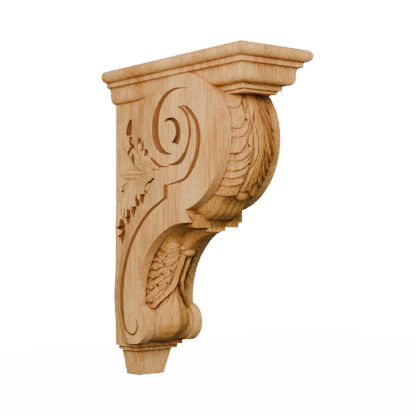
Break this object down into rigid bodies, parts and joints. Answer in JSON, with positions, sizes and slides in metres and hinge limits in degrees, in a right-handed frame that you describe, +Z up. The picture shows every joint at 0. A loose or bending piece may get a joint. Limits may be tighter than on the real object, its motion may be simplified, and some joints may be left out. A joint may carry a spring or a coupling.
{
  "type": "corbel bracket",
  "caption": "Carved beech corbel bracket with a moulded cap, a scroll with leaf carving between its cheeks, a lower curve, a roll and a tapered foot.",
  "frame": {"origin": "centre of the flat back at half the height, on the wall", "axes": "+Z up, +Y into the wall, so the bracket reaches out along -Y; X across, the same on both sides"},
  "size_m": [0.1038, 0.2479, 0.356],
  "materials": {
    "beech": "sanded, unfinished"
  },
  "bodies": {
    "root": {"corbel": "beech"}
  },
  "joints": []
}
